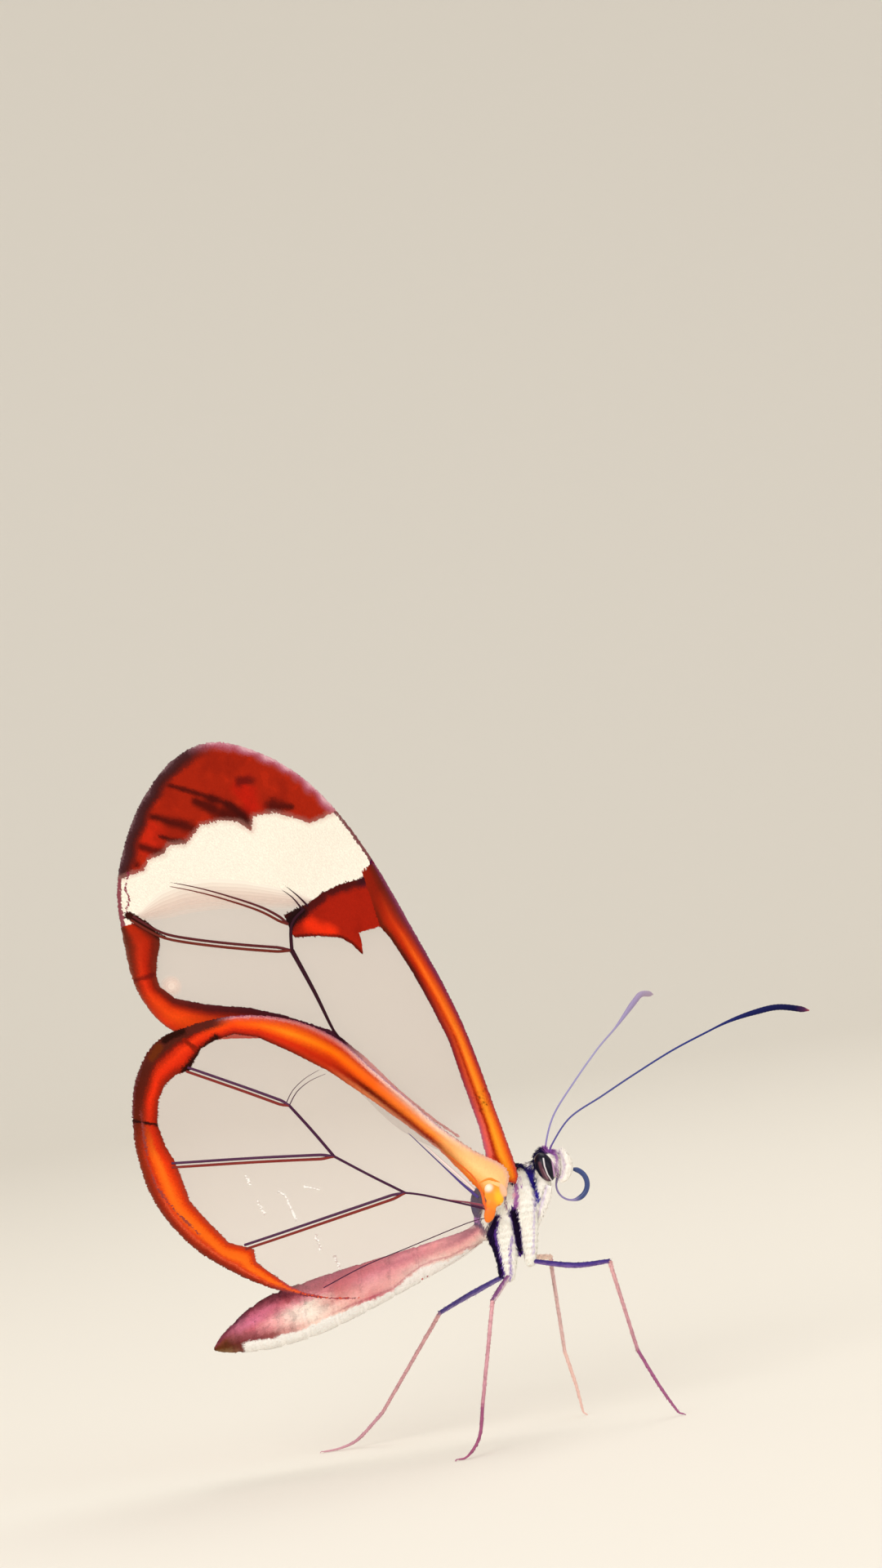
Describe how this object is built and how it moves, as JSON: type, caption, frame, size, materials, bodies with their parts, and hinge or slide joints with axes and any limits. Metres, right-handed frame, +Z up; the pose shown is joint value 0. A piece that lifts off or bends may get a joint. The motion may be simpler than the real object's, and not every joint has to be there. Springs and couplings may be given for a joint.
{
  "type": "glasswing butterfly",
  "caption": "Life-size glasswing butterfly standing with its clear, orange-bordered wings closed over its back, antennae forward and tongue coiled.",
  "frame": {"origin": "middle of the animal's footprint box, on the floor that its feet stand on", "axes": "+X the way the head points, +Y the animal's left, +Z up"},
  "size_m": [0.037, 0.0198, 0.0396],
  "materials": {
    "clear_wing": "clear film with orange, red-brown and white scaled bands",
    "cream_body": "cream white hair and scales",
    "dark_body": "dark violet-brown scales",
    "mauve_abdomen": "mauve-brown scales, paler below",
    "eye_brown": "glossy dark brown",
    "tongue_indigo": "satin blue-black",
    "antenna_blue": "dark blue, reddish at the tips",
    "leg_violet": "violet above, rosy below the knee"
  },
  "bodies": {
    "root": {"thorax": "cream_body", "prothorax": "dark_body", "abdomen": "mauve_abdomen", "head": "dark_body", "eye_right": "eye_brown", "eye_left": "eye_brown", "palp_right": "cream_body", "palp_left": "cream_body", "proboscis_1": "tongue_indigo", "proboscis_2": "tongue_indigo", "proboscis_3": "tongue_indigo", "antenna_right": "antenna_blue", "antenna_left": "antenna_blue", "forewing_right": "clear_wing", "forewing_left": "clear_wing", "hindwing_right": "clear_wing", "hindwing_left": "clear_wing", "foreleg_right": "cream_body", "foreleg_left": "cream_body", "coxa_mid_right": "cream_body", "coxa_mid_left": "cream_body", "coxa_hind_right": "cream_body", "coxa_hind_left": "cream_body", "femur_mid_right": "leg_violet", "femur_mid_left": "leg_violet", "femur_hind_right": "leg_violet", "femur_hind_left": "leg_violet", "tibia_mid_right": "leg_violet", "tibia_mid_left": "leg_violet", "tibia_hind_right": "leg_violet", "tibia_hind_left": "leg_violet", "tarsus_mid_right": "leg_violet", "tarsus_mid_left": "leg_violet", "tarsus_hind_right": "leg_violet", "tarsus_hind_left": "leg_violet"}
  },
  "joints": []
}
